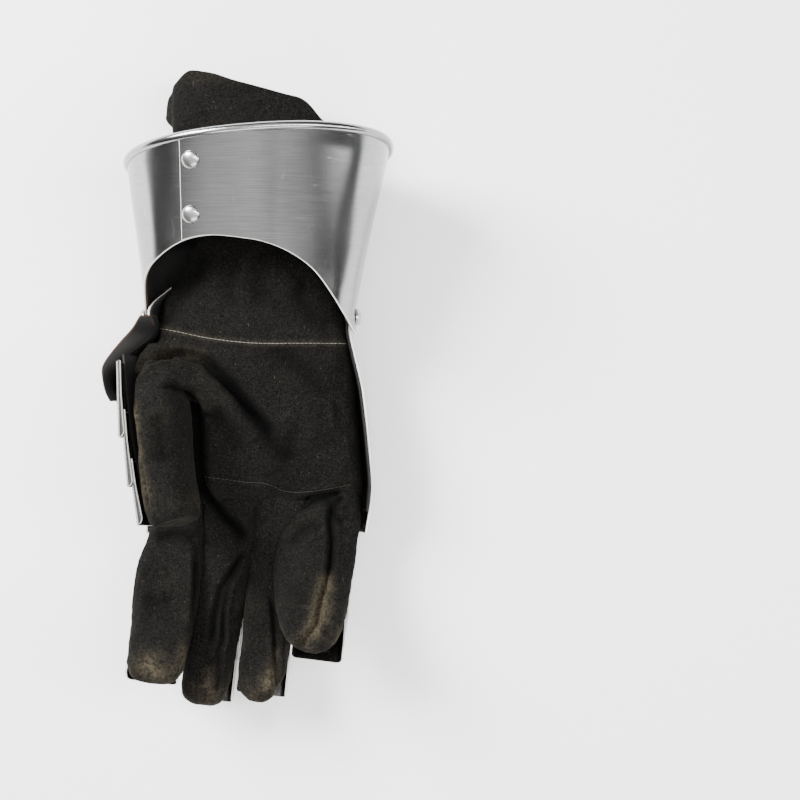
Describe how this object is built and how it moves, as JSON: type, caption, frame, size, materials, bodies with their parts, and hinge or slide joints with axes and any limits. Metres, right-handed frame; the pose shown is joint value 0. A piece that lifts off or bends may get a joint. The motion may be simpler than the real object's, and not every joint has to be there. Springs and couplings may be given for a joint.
{
  "type": "plate gauntlet",
  "caption": "Hourglass steel plate gauntlet with a suede glove inside: flared cuff, hand plate on a wrist pivot, and hinged finger and thumb plates riveted to leather.",
  "frame": {"origin": "under the middle of the bounding box, on the surface that the back of the hand plate lies on", "axes": "+Y from the fingertips to the cuff, +X from the thumb side to the little finger side, +Z out of the palm"},
  "size_m": [0.1692, 0.3782, 0.1246],
  "materials": {
    "plate_steel": "brushed, satin, with light scratches",
    "rivet_steel": "polished domes",
    "strap_leather": "plain, reddish brown, cut edges",
    "glove_suede": "black suede, worn pale at the fingertips and seams"
  },
  "bodies": {
    "cuff": {"cuff_shell": "plate_steel", "cuff_rim_bead": "plate_steel", "cuff_seam_rivet_upper": "rivet_steel", "cuff_seam_rivet_lower": "rivet_steel", "wrist_pivot_rivet_thumb_side": "rivet_steel", "wrist_pivot_rivet_little_side": "rivet_steel", "glove_sleeve": "glove_suede"},
    "hand": {"hand_plate": "plate_steel", "glove_palm": "glove_suede", "finger_leather": "strap_leather", "thumb_leather": "strap_leather", "knuckle_rivet_index": "rivet_steel", "knuckle_rivet_middle": "rivet_steel", "knuckle_rivet_ring": "rivet_steel", "knuckle_rivet_little": "rivet_steel"},
    "index_base": {"index_plate_base": "plate_steel", "index_rivet_base": "rivet_steel", "glove_index_base": "glove_suede"},
    "index_mid": {"index_plate_mid": "plate_steel", "index_rivet_mid": "rivet_steel", "glove_index_mid": "glove_suede"},
    "index_tip": {"index_plate_tip": "plate_steel", "index_rivet_tip": "rivet_steel", "glove_index_tip": "glove_suede"},
    "middle_base": {"middle_plate_base": "plate_steel", "middle_rivet_base": "rivet_steel", "glove_middle_base": "glove_suede"},
    "middle_mid": {"middle_plate_mid": "plate_steel", "middle_rivet_mid": "rivet_steel", "glove_middle_mid": "glove_suede"},
    "middle_tip": {"middle_plate_tip": "plate_steel", "middle_rivet_tip": "rivet_steel", "glove_middle_tip": "glove_suede"},
    "ring_base": {"ring_plate_base": "plate_steel", "ring_rivet_base": "rivet_steel", "glove_ring_base": "glove_suede"},
    "ring_mid": {"ring_plate_mid": "plate_steel", "ring_rivet_mid": "rivet_steel", "glove_ring_mid": "glove_suede"},
    "ring_tip": {"ring_plate_tip": "plate_steel", "ring_rivet_tip": "rivet_steel", "glove_ring_tip": "glove_suede"},
    "little_base": {"little_plate_base": "plate_steel", "little_rivet_base": "rivet_steel", "glove_little_base": "glove_suede"},
    "little_mid": {"little_plate_mid": "plate_steel", "little_rivet_mid": "rivet_steel", "glove_little_mid": "glove_suede"},
    "little_tip": {"little_plate_tip": "plate_steel", "little_rivet_tip": "rivet_steel", "glove_little_tip": "glove_suede"},
    "thumb_base": {"thumb_plate_base": "plate_steel", "thumb_rivet_base": "rivet_steel", "glove_thumb_base": "glove_suede"},
    "thumb_mid": {"thumb_plate_mid": "plate_steel", "thumb_rivet_mid": "rivet_steel", "glove_thumb_mid": "glove_suede"},
    "thumb_tip": {"thumb_plate_tip": "plate_steel", "thumb_rivet_tip": "rivet_steel", "glove_thumb_tip": "glove_suede"}
  },
  "joints": [
    {"name": "wrist", "type": "hinge", "parent": "cuff", "child": "hand", "pos_m": [0.00102, 0.04074, 0.05], "axis": [-1, 0, 0], "range_deg": [-8, 32]},
    {"name": "index_base", "type": "hinge", "parent": "hand", "child": "index_base", "pos_m": [-0.04548, -0.07886, 0.0255], "axis": [-0.9925, 0.1219, 0], "range_deg": [-7, 45], "deforming": ["finger_leather"]},
    {"name": "index_mid", "type": "hinge", "parent": "index_base", "child": "index_mid", "pos_m": [-0.0498, -0.11405, 0.03175], "axis": [-0.9925, 0.1219, 0], "range_deg": [-5, 50]},
    {"name": "index_tip", "type": "hinge", "parent": "index_mid", "child": "index_tip", "pos_m": [-0.05308, -0.14074, 0.04262], "axis": [-0.9925, 0.1219, 0], "range_deg": [-1, 30]},
    {"name": "middle_base", "type": "hinge", "parent": "hand", "child": "middle_base", "pos_m": [-0.01398, -0.08186, 0.0208], "axis": [-0.9925, 0.1219, 0], "range_deg": [-7, 45], "deforming": ["finger_leather"]},
    {"name": "middle_mid", "type": "hinge", "parent": "middle_base", "child": "middle_mid", "pos_m": [-0.01885, -0.12154, 0.0222], "axis": [-0.9925, 0.1219, 0], "range_deg": [-5, 50]},
    {"name": "middle_tip", "type": "hinge", "parent": "middle_mid", "child": "middle_tip", "pos_m": [-0.02269, -0.15282, 0.02775], "axis": [-0.9925, 0.1219, 0], "range_deg": [-1, 30]},
    {"name": "ring_base", "type": "hinge", "parent": "hand", "child": "ring_base", "pos_m": [0.01782, -0.08086, 0.0208], "axis": [-0.9925, 0.1219, 0], "range_deg": [-7, 45], "deforming": ["finger_leather"]},
    {"name": "ring_mid", "type": "hinge", "parent": "ring_base", "child": "ring_mid", "pos_m": [0.01307, -0.11955, 0.02216], "axis": [-0.9925, 0.1219, 0], "range_deg": [-5, 50]},
    {"name": "ring_tip", "type": "hinge", "parent": "ring_mid", "child": "ring_tip", "pos_m": [0.00935, -0.14985, 0.02754], "axis": [-0.9925, 0.1219, 0], "range_deg": [-1, 30]},
    {"name": "little_base", "type": "hinge", "parent": "hand", "child": "little_base", "pos_m": [0.04982, -0.07786, 0.0255], "axis": [-0.9925, 0.1219, 0], "range_deg": [-7, 40], "deforming": ["finger_leather"]},
    {"name": "little_mid", "type": "hinge", "parent": "little_base", "child": "little_mid", "pos_m": [0.04617, -0.10758, 0.03352], "axis": [-0.9925, 0.1219, 0], "range_deg": [-5, 50]},
    {"name": "little_tip", "type": "hinge", "parent": "little_mid", "child": "little_tip", "pos_m": [0.04351, -0.12923, 0.04768], "axis": [-0.9925, 0.1219, 0], "range_deg": [-1, 30]},
    {"name": "thumb_base", "type": "hinge", "parent": "hand", "child": "thumb_base", "pos_m": [-0.05498, 0.01214, 0.061], "axis": [-0.4986, 0.0749, 0.8636], "range_deg": [-6, 20], "deforming": ["thumb_leather"]},
    {"name": "thumb_mid", "type": "hinge", "parent": "thumb_base", "child": "thumb_mid", "pos_m": [-0.05161, -0.01532, 0.06533], "axis": [-0.4986, 0.0749, 0.8636], "range_deg": [-3, 30]},
    {"name": "thumb_tip", "type": "hinge", "parent": "thumb_mid", "child": "thumb_tip", "pos_m": [-0.04657, -0.04236, 0.07058], "axis": [-0.4986, 0.0749, 0.8636], "range_deg": [-2, 36]}
  ]
}
